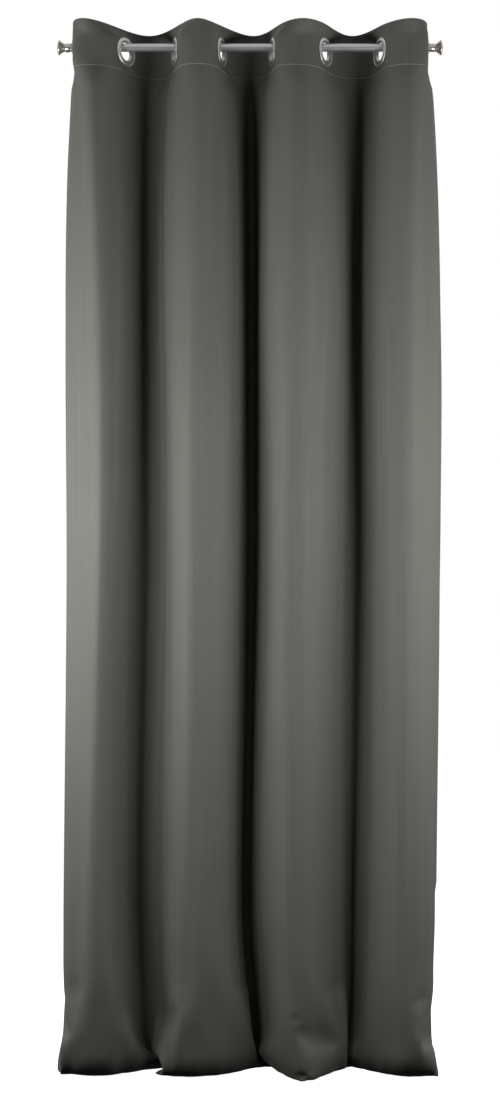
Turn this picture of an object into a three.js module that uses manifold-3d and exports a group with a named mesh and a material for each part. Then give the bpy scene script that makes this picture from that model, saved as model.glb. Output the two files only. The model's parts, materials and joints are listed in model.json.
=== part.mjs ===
// An eyelet curtain panel hanging in even folds from its rod, in millimetres.
// X runs along the rod, the room is in front at -Y and the wall behind at +Y, and Z is up.
// The origin is on the rod's axis, half way between its two ends.
import * as THREE from 'three';
import { mergeVertices } from 'three/addons/utils/BufferGeometryUtils.js';
import Module from 'manifold-3d';

const wasm = await Module();
wasm.setup();

// Rod and finials
const rodRadius = 9.5;
const rodWall = 1;
const rodEndMargin = 19; // from the last eyelet's centre to the end of the tube
const rodSides = 24;
const finialRadius = 18;
const finialFlare = 17; // from the tube's end to the widest place
const finialDome = 5;
const bungLength = 30;
const spigotRadius = 4;
const spigotLength = 8;

// Cloth, flat
const clothWidth = 1448;
const clothHeight = 2433; // from the top edge down to the floor
const topAboveRod = 48;
const headingHeight = 103;
const bottomHemHeight = 90;
const sideHemWidth = 25;
const faceThickness = 0.8;
const stiffenerThickness = 0.6;
const facingThickness = 0.8;
const labelWidth = 30;
const labelHeight = 50;
const labelThickness = 0.5;
const labelAboveHem = 120;

// How the cloth hangs: the width on the rod for each unit of cloth, and where its middle is
const gather = 0.6377;
const panelShift = 1;
// Each gap between eyelets against the mean gap
const gapShares = [0.988, 1.005, 0.918, 1.04, 1.04, 1.126, 0.884];
// The angle between the cloth and the rod at each eyelet, in degrees
const eyeletTurns = [96, 56, 76, 73, 78, 61, 69, 96];

// Eyelets: a front ring with a barrel, snapped into a back ring
const ringInnerRadius = 20;
const ringOuterRadius = 33;
const barrelWall = 1.2;
const barrelLip = 0.5; // the barrel's rolled end behind the back ring
const frontRingThickness = 2.8;
const backRingThickness = 2.2;
const ringSides = 24;
const flatMargin = 1.5; // the flat cloth beyond the ring's edge

// Gaps between pieces that touch
const plyGap = 0.3;
const fitGap = 0.3;
const holeGap = 0.7;
const cutGap = 0.3;

// Driven values
const eyeletCount = gapShares.length + 1;
const eyeletPitch = clothWidth / eyeletCount;
const headingThickness = faceThickness + stiffenerThickness + facingThickness + 2 * plyGap;
const flatHalf = ringOuterRadius + flatMargin;
const archLength = eyeletPitch - 2 * flatHalf;
const returnLength = eyeletPitch / 2 - flatHalf;
const meanGap = eyeletPitch * gather;
const bottomZ = topAboveRod - clothHeight;
const ringSeat = headingThickness / 2 + plyGap; // from the cloth's middle to a ring
const barrelEnd = ringSeat + backRingThickness + barrelLip;
const barrelRadius = ringInnerRadius + barrelWall;
const archSteps = 6; // straight steps in half a fold

// Finishes, for a plain view of the model
const satinCloth = new THREE.MeshStandardMaterial({ color: 0x4c4d48, roughness: 0.75, metalness: 0 });
const innerCloth = new THREE.MeshStandardMaterial({ color: 0xd8d6cf, roughness: 0.9, metalness: 0 });
const satinNickel = new THREE.MeshStandardMaterial({ color: 0xb9b7b2, roughness: 0.3, metalness: 1 });
const brushedSteel = new THREE.MeshStandardMaterial({ color: 0xa9aaab, roughness: 0.35, metalness: 1 });
const darkPlastic = new THREE.MeshStandardMaterial({ color: 0x2a2a2a, roughness: 0.6, metalness: 0 });
const labelTape = new THREE.MeshStandardMaterial({ color: 0xf0efec, roughness: 0.8, metalness: 0 });

const group = new THREE.Group();

/** Adds one named piece to the model, or to a group inside it. */
function addPiece(name, geometry, material, parent = group) {
  const mesh = new THREE.Mesh(geometry, material);
  mesh.name = name;
  parent.add(mesh);
  return mesh;
}

/** Turns a closed three.js geometry into a solid that can be cut. */
function toSolid(geometry) {
  const bare = geometry.clone();
  bare.deleteAttribute('normal');
  bare.deleteAttribute('uv');
  const merged = mergeVertices(bare, 1e-4);
  return new wasm.Manifold(new wasm.Mesh({
    numProp: 3,
    vertProperties: Float32Array.from(merged.attributes.position.array),
    triVerts: Uint32Array.from(merged.index.array),
  }));
}

/** Turns a solid back into a geometry. */
function toGeometry(solid) {
  const { vertProperties, triVerts } = solid.getMesh();
  const geometry = new THREE.BufferGeometry();
  geometry.setAttribute('position', new THREE.BufferAttribute(vertProperties, 3));
  geometry.setIndex(new THREE.BufferAttribute(triVerts, 1));
  geometry.computeVertexNormals();
  return geometry;
}

/** Revolves a profile of [radius, height] points about Y. */
function revolve(profile, sides) {
  return new THREE.LatheGeometry(profile.map(([r, y]) => new THREE.Vector2(r, y)), sides);
}

/** The height of the rings' centres: the highest rod that still clears every tilted barrel. */
function ringHeight() {
  const inner = ringInnerRadius * Math.cos(Math.PI / ringSides) - fitGap;
  let drop = Infinity;
  for (const turn of eyeletTurns) {
    const tilt = THREE.MathUtils.degToRad(90 - turn);
    const sideways = (ringSeat + frontRingThickness) * Math.tan(tilt);
    for (let angle = 0; angle <= 90; angle += 1) {
      const around = THREE.MathUtils.degToRad(angle);
      const across = sideways + rodRadius / Math.cos(tilt) * Math.sin(around);
      drop = Math.min(drop, Math.sqrt(inner ** 2 - across ** 2) - rodRadius * Math.cos(around));
    }
  }
  return -drop;
}

/** Where each eyelet sits on the rod, and the direction of the cloth there. */
function placeEyelets() {
  const span = meanGap * gapShares.reduce((sum, share) => sum + share, 0);
  let x = panelShift - span / 2;
  return eyeletTurns.map((turn, index) => {
    if (index > 0) x += gapShares[index - 1] * meanGap;
    // The cloth comes forward through the first eyelet, back through the second, and so on
    const side = index % 2 === 0 ? -1 : 1;
    const angle = THREE.MathUtils.degToRad(turn) * side;
    const along = new THREE.Vector2(Math.cos(angle), Math.sin(angle));
    return { x, angle, along };
  });
}

/** A point of the section, some way along the flat cloth at an eyelet. */
function flatPoint(eyelet, distance) {
  return new THREE.Vector2(eyelet.x, 0).addScaledVector(eyelet.along, distance);
}

/** The fold between two eyelets, whose length is the cloth's length between their flats. */
function foldBetween(left, right) {
  const start = flatPoint(left, flatHalf);
  const end = flatPoint(right, -flatHalf);
  const foldWith = (reach) => new THREE.CubicBezierCurve(
    start,
    start.clone().addScaledVector(left.along, reach),
    end.clone().addScaledVector(right.along, -reach),
    end,
  );
  let short = 0;
  let long = archLength;
  for (let step = 0; step < 40; step += 1) {
    const middle = (short + long) / 2;
    if (foldWith(middle).getLength() < archLength) short = middle;
    else long = middle;
  }
  return foldWith(short);
}

/** Points of half a fold, from one share of its length to another. */
function foldPoints(fold, from, to) {
  const points = [];
  for (let step = 0; step <= archSteps; step += 1) {
    points.push(fold.getPointAt(from + (to - from) * step / archSteps));
  }
  return points;
}

/** The section line of one pleat: from crest to crest, or to the cloth's own edge. */
function pleatLine(index) {
  const eyelet = eyelets[index];
  const half = 0.5 - cutGap / 2 / archLength;
  const before = index === 0
    ? [flatPoint(eyelet, -flatHalf - returnLength), flatPoint(eyelet, -flatHalf)]
    : foldPoints(folds[index - 1], 1 - half, 1);
  const after = index === eyeletCount - 1
    ? [flatPoint(eyelet, flatHalf), flatPoint(eyelet, flatHalf + returnLength)]
    : foldPoints(folds[index], 0, half);
  return [...before, ...after];
}

/** The direction of a line at one of its points. At an end the line keeps the turn it had. */
function directionAt(line, index) {
  const last = line.length - 1;
  const before = line[Math.max(index - 1, 0)];
  const after = line[Math.min(index + 1, last)];
  const along = after.clone().sub(before).normalize();
  if (last < 2 || (index > 0 && index < last)) return along;
  const inner = directionAt(line, index === 0 ? 1 : last - 1);
  return along.multiplyScalar(2).sub(inner).normalize();
}

/** A line moved sideways, towards the wall where offset is positive. */
function offsetLine(line, offset) {
  return line.map((point, index) => {
    const along = directionAt(line, index);
    return new THREE.Vector2(point.x - along.y * offset, point.y + along.x * offset);
  });
}

/** A sheet of cloth along a section line, between two depths and two heights. */
function sheet(line, front, back, low, high) {
  const outline = [...offsetLine(line, front), ...offsetLine(line, back).reverse()];
  const geometry = new THREE.ExtrudeGeometry(new THREE.Shape(outline), {
    depth: high - low, bevelEnabled: false,
  });
  return geometry.translate(0, 0, low);
}

/** Cuts the eyelet's round hole through a sheet. */
function cutHole(geometry, eyelet) {
  const hole = new THREE.CylinderGeometry(barrelRadius + holeGap, barrelRadius + holeGap,
    4 * headingThickness, ringSides);
  hole.rotateZ(eyelet.angle).translate(eyelet.x, 0, eyeletZ);
  return toGeometry(toSolid(geometry).subtract(toSolid(hole)));
}

/** The part of a line that lies within a distance of its first point. */
function startOfLine(line, length) {
  return [line[0], line[0].clone().lerp(line[1], length / line[0].distanceTo(line[1]))];
}

const eyelets = placeEyelets();
const eyeletZ = ringHeight();
const folds = eyelets.slice(1).map((eyelet, index) => foldBetween(eyelets[index], eyelet));
const rodHalfLength = eyelets[eyeletCount - 1].x + rodEndMargin;

// Depths of the cloth's layers, from its middle line: the face is towards the room
const faceFront = -headingThickness / 2;
const faceBack = faceFront + faceThickness;
const stiffenerFront = faceBack + plyGap;
const stiffenerBack = stiffenerFront + stiffenerThickness;
const facingFront = stiffenerBack + plyGap;
const facingBack = facingFront + facingThickness;
const hemFront = faceBack + plyGap;
const hemBack = hemFront + faceThickness;

/** The rod: a plain round tube. */
function addRod() {
  const bore = rodRadius - rodWall;
  const tube = revolve([
    [bore, -rodHalfLength], [rodRadius, -rodHalfLength],
    [rodRadius, rodHalfLength], [bore, rodHalfLength], [bore, -rodHalfLength],
  ], rodSides);
  addPiece('rod_tube', tube, brushedSteel).rotation.z = -Math.PI / 2;
}

/** A flared finial and the bung that holds it in the tube; side is -1 or 1 along X. */
function addFinial(name, side) {
  const end = new THREE.Group();
  end.position.x = side * (rodHalfLength + fitGap);
  end.rotation.z = -side * Math.PI / 2;
  group.add(end);
  const flare = new THREE.QuadraticBezierCurve(
    new THREE.Vector2(rodRadius, 0),
    new THREE.Vector2(rodRadius + 1, finialFlare * 0.7),
    new THREE.Vector2(finialRadius, finialFlare),
  ).getPoints(6).map((point) => [point.x, point.y]);
  const dome = [];
  for (let step = 1; step <= 5; step += 1) {
    const angle = step / 5 * Math.PI / 2;
    dome.push([finialRadius * Math.cos(angle), finialFlare + finialDome * Math.sin(angle)]);
  }
  dome[dome.length - 1][0] = 0;
  const socketRadius = spigotRadius + fitGap;
  const socketDepth = spigotLength + fitGap;
  const cap = [[0, socketDepth], [socketRadius, socketDepth], [socketRadius, 0], ...flare, ...dome];
  addPiece(`${name}_cap`, revolve(cap, rodSides), satinNickel, end);
  const bungRadius = rodRadius - rodWall - fitGap;
  const bung = [
    [0, -bungLength], [bungRadius - 1, -bungLength], [bungRadius, 1 - bungLength],
    [bungRadius, -fitGap], [spigotRadius, -fitGap], [spigotRadius, spigotLength - fitGap],
    [0, spigotLength - fitGap],
  ];
  addPiece(`${name}_bung`, revolve(bung, rodSides), darkPlastic, end);
}

/** The two rings of one eyelet, turned with the cloth and hanging on the rod. */
function addEyelet(eyelet, number) {
  const place = new THREE.Group();
  place.position.set(eyelet.x, 0, eyeletZ);
  place.rotation.z = eyelet.angle;
  group.add(place);
  const front = -ringSeat - frontRingThickness;
  const middle = (ringInnerRadius + ringOuterRadius) / 2;
  const shoulder = -ringSeat - frontRingThickness * 0.6;
  addPiece(`eyelet_${number}_front_ring`, revolve([
    [ringInnerRadius, barrelEnd], [ringInnerRadius, shoulder], [ringInnerRadius + 2, front],
    [middle, front], [ringOuterRadius, shoulder], [ringOuterRadius, -ringSeat],
    [barrelRadius, -ringSeat], [barrelRadius, barrelEnd], [ringInnerRadius, barrelEnd],
  ], ringSides), satinNickel, place);
  const bore = barrelRadius + fitGap;
  const back = ringSeat + backRingThickness;
  addPiece(`eyelet_${number}_back_ring`, revolve([
    [bore, ringSeat], [ringOuterRadius, ringSeat], [ringOuterRadius, ringSeat + 1],
    [middle, back], [bore, back], [bore, ringSeat],
  ], ringSides), satinNickel, place);
}

/** One pleat of the panel: its face cloth, stiffener, turned-down facing and bottom hem. */
function addPleat(eyelet, line, number) {
  const top = topAboveRod;
  const seam = top - headingHeight;
  const face = sheet(line, faceFront, faceBack, bottomZ, top);
  addPiece(`face_cloth_${number}`, cutHole(face, eyelet), satinCloth);
  const stiffener = sheet(line, stiffenerFront, stiffenerBack, seam + plyGap, top - plyGap);
  addPiece(`heading_stiffener_${number}`, cutHole(stiffener, eyelet), innerCloth);
  const facing = sheet(line, facingFront, facingBack, seam, top);
  addPiece(`heading_facing_${number}`, cutHole(facing, eyelet), satinCloth);
  const hem = sheet(line, hemFront, hemBack, bottomZ, bottomZ + bottomHemHeight);
  addPiece(`bottom_hem_${number}`, hem, satinCloth);
}

/** The turned-in hem along one side edge; the line starts at that edge. */
function addSideHem(name, edge, front, back) {
  const low = bottomZ + bottomHemHeight + plyGap;
  const high = topAboveRod - headingHeight - plyGap;
  addPiece(name, sheet(startOfLine(edge, sideHemWidth), front, back, low, high), satinCloth);
}

/** A blank care label sewn over the right-hand side hem. */
function addLabel(edge) {
  const low = bottomZ + bottomHemHeight + labelAboveHem;
  const depth = -hemBack - plyGap;
  const tape = startOfLine(edge, labelWidth);
  addPiece('care_label', sheet(tape, depth - labelThickness, depth, low, low + labelHeight), labelTape);
}

const lines = eyelets.map((eyelet, index) => pleatLine(index));
addRod();
addFinial('finial_left', -1);
addFinial('finial_right', 1);
eyelets.forEach((eyelet, index) => {
  addPleat(eyelet, lines[index], index + 1);
  addEyelet(eyelet, index + 1);
});
addSideHem('side_hem_left', lines[0], hemFront, hemBack);
// The right-hand line is read backwards from its edge, so its depths change sign
const rightEdge = [...lines[eyeletCount - 1]].reverse();
addSideHem('side_hem_right', rightEdge, -hemBack, -hemFront);
addLabel(rightEdge);

export default group;
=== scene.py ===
"""An eyelet curtain panel on its rod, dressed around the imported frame.

Every length is in metres. X runs along the rod, the room is in front at -Y, and Z is up.
"""

import json
import logging
import math
from dataclasses import dataclass
from enum import Enum
from typing import Any, Callable, Iterable, Sequence

import bmesh
import bpy
import numpy as np
from mathutils import Matrix, Vector
from mathutils.geometry import interpolate_bezier
from mathutils.noise import noise


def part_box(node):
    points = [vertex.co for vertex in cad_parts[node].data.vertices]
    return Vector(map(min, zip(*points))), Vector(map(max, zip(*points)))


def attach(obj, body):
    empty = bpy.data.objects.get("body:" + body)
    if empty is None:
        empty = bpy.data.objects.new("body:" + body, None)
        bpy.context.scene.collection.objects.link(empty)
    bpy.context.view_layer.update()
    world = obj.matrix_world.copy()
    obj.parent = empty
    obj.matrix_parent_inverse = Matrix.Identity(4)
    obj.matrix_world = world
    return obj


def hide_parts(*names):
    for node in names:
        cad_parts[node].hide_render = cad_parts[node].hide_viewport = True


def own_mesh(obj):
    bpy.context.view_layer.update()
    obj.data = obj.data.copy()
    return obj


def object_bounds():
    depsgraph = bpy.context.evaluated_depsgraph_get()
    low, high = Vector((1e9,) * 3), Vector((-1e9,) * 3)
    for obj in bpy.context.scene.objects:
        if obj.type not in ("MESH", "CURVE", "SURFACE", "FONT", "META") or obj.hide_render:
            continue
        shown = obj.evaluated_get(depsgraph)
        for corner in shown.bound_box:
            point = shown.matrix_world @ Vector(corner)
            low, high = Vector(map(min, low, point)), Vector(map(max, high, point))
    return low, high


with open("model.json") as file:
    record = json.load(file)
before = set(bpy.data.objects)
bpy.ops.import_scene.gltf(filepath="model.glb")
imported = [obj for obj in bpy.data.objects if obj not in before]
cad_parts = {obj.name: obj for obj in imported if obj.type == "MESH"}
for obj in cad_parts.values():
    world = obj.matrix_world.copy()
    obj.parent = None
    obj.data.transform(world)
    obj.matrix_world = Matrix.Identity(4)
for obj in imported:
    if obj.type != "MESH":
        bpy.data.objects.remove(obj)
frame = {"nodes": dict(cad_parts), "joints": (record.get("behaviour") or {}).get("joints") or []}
CAD_LOW, CAD_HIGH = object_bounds()

LOG = logging.getLogger("curtain")
JOINTS = {joint["name"]: joint for joint in frame["joints"]}
# How the names of the CAD nodes begin that the one cloth stands for
CLOTH_NODES = ("face", "heading", "bottom", "side")

EYELETS = 8
# The angle between the cloth and the rod at each eyelet, in degrees
EYELET_TURNS = (96, 56, 76, 73, 78, 61, 69, 96)


class Layer(Enum):
    """How many plies of cloth lie on each other, as a share of the heading's thickness."""

    HEADING = 1.0
    HEM = 0.62
    SINGLE = 0.0


# ---------------------------------------------------------------- shader sockets


class Wire:
    """A shader socket that Python's operators join with Math nodes."""

    def __init__(self, shader: "Shader", socket: bpy.types.NodeSocket) -> None:
        """Wraps a socket.

        Args:
            shader: The shader that the socket belongs to.
            socket: An output socket with one number.
        """
        self.shader = shader
        self.socket = socket

    def _math(self, operation: str, *values: Any) -> "Wire":
        """Adds a Math node and returns its result."""
        return self.shader.node("ShaderNodeMath", {"operation": operation}, dict(enumerate(values)))

    def __add__(self, other: Any) -> "Wire":
        """self + other."""
        return self._math("ADD", self, other)

    __radd__ = __add__

    def __sub__(self, other: Any) -> "Wire":
        """self - other."""
        return self._math("SUBTRACT", self, other)

    def __rsub__(self, other: Any) -> "Wire":
        """other - self."""
        return self._math("SUBTRACT", other, self)

    def __mul__(self, other: Any) -> "Wire":
        """self times other."""
        return self._math("MULTIPLY", self, other)

    __rmul__ = __mul__

    def wave(self, period: float) -> "Wire":
        """A sine from -1 to 1 that repeats every period."""
        return self._math("SINE", self * (2 * math.pi / period))

    def clamp(self) -> "Wire":
        """self kept between 0 and 1."""
        return self.shader.node("ShaderNodeClamp", {}, {"Value": self})


class Shader:
    """One material's node tree."""

    def __init__(self, name: str) -> None:
        """Starts an empty material.

        Args:
            name: The material's name.
        """
        self.material = bpy.data.materials.new(name)
        self.material.use_nodes = True
        self.tree = self.material.node_tree
        self.tree.nodes.clear()

    def node(
        self, kind: str, settings: dict[str, Any], inputs: dict[Any, Any], output: Any = 0
    ) -> Wire:
        """Adds a node.

        Args:
            kind: The node's type.
            settings: Its properties, set before its sockets.
            inputs: Socket names or numbers, with the value or wire that each takes.
            output: The name or number of the socket to return.

        Returns:
            The chosen output.
        """
        made = self.tree.nodes.new(kind)
        for name, value in settings.items():
            setattr(made, name, value)
        for name, value in inputs.items():
            if isinstance(value, Wire):
                self.tree.links.new(value.socket, made.inputs[name])
            else:
                made.inputs[name].default_value = value
        return Wire(self, made.outputs[output]) if made.outputs else Wire(self, None)

    def mix(self, share: Any, first: Any, second: Any) -> Wire:
        """A colour between two, by a share from 0 to 1."""
        settings = {"data_type": "RGBA", "blend_type": "MIX"}
        return self.node("ShaderNodeMix", settings, {0: share, 6: first, 7: second}, 2)

    def noise(self, vector: Wire, scale: float, detail: float = 2.0, rough: float = 0.5) -> Wire:
        """Noise from 0 to 1 on a vector."""
        inputs = {"Vector": vector, "Scale": scale, "Detail": detail, "Roughness": rough}
        return self.node("ShaderNodeTexNoise", {}, inputs)

    def stretched(self, vector: Wire, scale: tuple[float, float, float]) -> Wire:
        """A vector scaled along each axis."""
        return self.node("ShaderNodeMapping", {}, {"Vector": vector, "Scale": scale})

    def place(self, output: str) -> Wire:
        """Texture coordinates of the piece's own, Object or UV."""
        return self.node("ShaderNodeTexCoord", {}, {}, output)

    def parts(self, vector: Wire) -> list[Wire]:
        """The three numbers of a vector."""
        split = self.node("ShaderNodeSeparateXYZ", {}, {"Vector": vector})
        return [Wire(self, socket) for socket in split.socket.node.outputs]

    def bump(self, height: Wire, distance: float, strength: float = 1.0) -> Wire:
        """A normal bent by a height from 0 to 1 over a distance in metres."""
        inputs = {"Height": height, "Distance": distance, "Strength": strength}
        return self.node("ShaderNodeBump", {}, inputs)

    def finish(self, **sockets: Any) -> bpy.types.Material:
        """Closes the material with a Principled shader.

        Args:
            sockets: Its sockets, with _ for a space, and the value or wire that each takes.

        Returns:
            The finished material.
        """
        named = {name.replace("_", " "): value for name, value in sockets.items()}
        surface = self.node("ShaderNodeBsdfPrincipled", {}, named)
        self.node("ShaderNodeOutputMaterial", {}, {"Surface": surface})
        return self.material


Colour = tuple[float, float, float, float]


@dataclass(frozen=True)
class SatinCloth:
    """Dim-out satin: fine warp floats, faint slubs across them and a soft sheen."""

    name: str
    colour: Colour
    light: Colour
    roughness: float = 0.58
    sheen: float = 0.16
    thread: float = 0.0009
    slub: float = 0.00016

    def material(self) -> bpy.types.Material:
        """Builds the cloth's material on its own flat coordinates, in metres.

        Returns:
            The material.
        """
        shader = Shader(self.name)
        flat = shader.place("UV")
        across, down, _ = shader.parts(flat)
        cloud = shader.noise(flat, 5.0, 3.0)
        slubs = shader.noise(shader.stretched(flat, (9.0, 420.0, 1.0)), 1.0, 3.0, 0.6)
        streaks = shader.noise(shader.stretched(flat, (190.0, 1.8, 1.0)), 1.0, 3.0, 0.6)
        creases = shader.noise(shader.stretched(flat, (40.0, 12.0, 1.0)), 1.0, 4.0, 0.55)
        warp = across.wave(self.thread) * 0.5 + 0.5
        weft = (down + across * 0.4).wave(self.thread * 1.6) * 0.5 + 0.5
        weave = warp * 0.7 + weft * 0.3
        tone = (cloud * 0.4 + streaks * 0.9 + slubs * 0.4 + weave * 0.12 - 0.4).clamp()
        return shader.finish(
            Base_Color=shader.mix(tone, self.colour, self.light),
            Roughness=slubs * 0.1 + (self.roughness - 0.05),
            Specular_IOR_Level=0.24,
            Sheen_Weight=self.sheen,
            Sheen_Roughness=0.35,
            Normal=shader.bump(weave * 0.35 + slubs * 0.5 + creases * 0.9, self.slub * 2),
        )


@dataclass(frozen=True)
class Metal:
    """A metal with fine turned or drawn lines and soft smudges."""

    name: str
    colour: Colour
    shade: Colour
    roughness: float
    line_scale: tuple[float, float, float]
    bump: float = 0.00002

    def material(self) -> bpy.types.Material:
        """Builds the metal on object coordinates.

        Returns:
            The material.
        """
        shader = Shader(self.name)
        place = shader.place("Object")
        lines = shader.noise(shader.stretched(place, self.line_scale), 1.0, 3.0, 0.6)
        smudge = shader.noise(place, 34.0, 3.0)
        return shader.finish(
            Base_Color=shader.mix((lines * 0.6 + smudge * 0.4).clamp(), self.shade, self.colour),
            Metallic=1.0,
            Roughness=lines * 0.1 + smudge * 0.12 + (self.roughness - 0.1),
            Normal=shader.bump(lines, self.bump),
        )


@dataclass(frozen=True)
class Plain:
    """Moulded plastic, tape or thread: one colour with a fine grain."""

    name: str
    colour: Colour
    shade: Colour
    roughness: float
    grain: float
    bump: float

    def material(self) -> bpy.types.Material:
        """Builds the grain on object coordinates.

        Returns:
            The material.
        """
        shader = Shader(self.name)
        place = shader.place("Object")
        grain = shader.noise(place, self.grain, 3.0)
        patch = shader.noise(place, self.grain / 20, 2.0)
        return shader.finish(
            Base_Color=shader.mix((grain * 0.5 + patch * 0.5).clamp(), self.shade, self.colour),
            Roughness=grain * 0.12 + (self.roughness - 0.06),
            Normal=shader.bump(grain, self.bump),
        )


SATIN = SatinCloth("satin_weave", (0.105, 0.109, 0.093, 1), (0.15, 0.154, 0.136, 1))
NICKEL = Metal("satin_nickel", (0.74, 0.73, 0.71, 1), (0.5, 0.49, 0.47, 1), 0.26, (900, 40, 900))
WARM_NICKEL = Metal("warm_nickel", (0.64, 0.6, 0.56, 1), (0.44, 0.4, 0.36, 1), 0.32, (2400, 60, 60))
STEEL = Metal("brushed_steel", (0.74, 0.735, 0.71, 1), (0.56, 0.555, 0.53, 1), 0.27, (30, 1900, 1900))
PLASTIC = Plain("dark_plastic", (0.035, 0.035, 0.036, 1), (0.02, 0.02, 0.02, 1), 0.5, 900, 0.00003)
TAPE = Plain("label_tape", (0.84, 0.83, 0.79, 1), (0.74, 0.73, 0.69, 1), 0.75, 1600, 0.00005)
# The thread's own colour, made far lighter than the cloth so that the heading seam reads as a light
# line: partly real thread colour, partly a painted highlight for the light that the seam's raised
# ridge catches.
THREAD_WITH_PAINTED_HIGHLIGHT = Plain("thread", (0.45, 0.455, 0.42, 1), (0.32, 0.325, 0.3, 1), 0.42, 3000, 0.00003)


# ---------------------------------------------------------------- making pieces


def shade_smooth(mesh: bpy.types.Mesh, angle: float) -> None:
    """Shades a mesh smooth, with edges sharper than an angle in degrees left sharp."""
    mesh.shade_smooth()
    mesh.set_sharp_from_angle(angle=math.radians(angle))


def mesh_from(name: str, shape: bmesh.types.BMesh) -> bpy.types.Mesh:
    """Turns a bmesh into a mesh and frees it.

    Args:
        name: The mesh's name.
        shape: The bmesh.

    Returns:
        The new mesh.
    """
    mesh = bpy.data.meshes.new(name)
    shape.to_mesh(mesh)
    shape.free()
    return mesh


def linked(name: str, data: Any) -> bpy.types.Object:
    """Puts a new object in the scene.

    Args:
        name: The object's name.
        data: Its mesh, camera or light.

    Returns:
        The new object.
    """
    thing = bpy.data.objects.new(name, data)
    bpy.context.scene.collection.objects.link(thing)
    return thing


def grid_rows(shape: bmesh.types.BMesh, columns: int, rows: int) -> list[bmesh.types.BMVert]:
    """Adds a flat grid to an empty bmesh.

    Args:
        shape: The bmesh.
        columns: How many faces the grid has across.
        rows: How many faces it has down.

    Returns:
        Its vertices, row by row from the top, each row from left to right.
    """
    bmesh.ops.create_grid(shape, x_segments=columns, y_segments=rows, size=0.5)
    return sorted(shape.verts, key=lambda vert: (-round(vert.co.y, 6), round(vert.co.x, 6)))


def make_piece(
    name: str,
    shape: bmesh.types.BMesh,
    finish: Any,
    body: str,
    nodes: Iterable[str] = (),
    sharp: float = 35.0,
) -> bpy.types.Object:
    """Turns a bmesh into a finished piece that rides on a body.

    Args:
        name: The piece's name.
        shape: The mesh, in place, which is freed.
        finish: The finish that makes its material.
        body: The body that it moves with.
        nodes: The CAD nodes that it stands for.
        sharp: The angle past which an edge stays sharp, in degrees.

    Returns:
        The new object.
    """
    mesh = mesh_from(name, shape)
    shade_smooth(mesh, sharp)
    piece = linked(name, mesh)
    mesh.materials.append(material_of(finish))
    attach(piece, body)
    if nodes:
        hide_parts(*nodes)
    LOG.info("%s: %d faces on %s", name, len(mesh.polygons), body)
    return piece


def material_of(finish: Any) -> bpy.types.Material:
    """The finish's material, built once."""
    return bpy.data.materials.get(finish.name) or finish.material()


def spun(profile: Sequence[tuple[float, float]], steps: int) -> bmesh.types.BMesh:
    """Spins a profile a whole turn about Z.

    Args:
        profile: Points (radius, height), closed or with both ends on the axis.
        steps: How many sides the shape has.

    Returns:
        A bmesh with its faces pointing out.
    """
    shape = bmesh.new()
    verts = [shape.verts.new((radius, 0, height)) for radius, height in profile]
    edges = [shape.edges.new(pair) for pair in zip(verts, verts[1:])]
    on_axis = profile[0][0] < 1e-7 and profile[-1][0] < 1e-7
    if not on_axis:
        edges.append(shape.edges.new((verts[-1], verts[0])))
    bmesh.ops.spin(
        shape, geom=verts + edges, cent=(0, 0, 0), axis=(0, 0, 1), dvec=(0, 0, 0),
        angle=2 * math.pi, steps=steps, use_merge=True, use_normal_flip=False,
    )
    bmesh.ops.remove_doubles(shape, verts=shape.verts, dist=1e-6)
    bmesh.ops.recalc_face_normals(shape, faces=shape.faces)
    return shape


def arc(
    centre: tuple[float, float], radius: float, start: float, end: float, steps: int
) -> list[tuple[float, float]]:
    """Draws an arc in a profile.

    Args:
        centre: Its centre, as radius and height.
        radius: Its radius.
        start: The angle that it starts at, in degrees.
        end: The angle that it ends at, in degrees.
        steps: How many straight steps it has.

    Returns:
        Its points, as radius and height.
    """
    angles = [math.radians(start + (end - start) * step / steps) for step in range(steps + 1)]
    return [
        (centre[0] + radius * math.cos(angle), centre[1] + radius * math.sin(angle))
        for angle in angles
    ]


def smooth_step(value: np.ndarray, low: float, high: float) -> np.ndarray:
    """0 below low, 1 above high and a smooth rise between them."""
    share = np.clip((value - low) / (high - low), 0, 1)
    return share * share * (3 - 2 * share)


# ---------------------------------------------------------------- the cloth's shape


@dataclass(frozen=True)
class Folds:
    """Where the cloth crosses the rod's plane at one height, and how steeply.

    down is the height's distance below the top edge, places are along the rod, and turns are
    the angles between the cloth and the rod, in degrees.
    """

    down: float
    places: tuple[float, ...]
    turns: tuple[float, ...]


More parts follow.
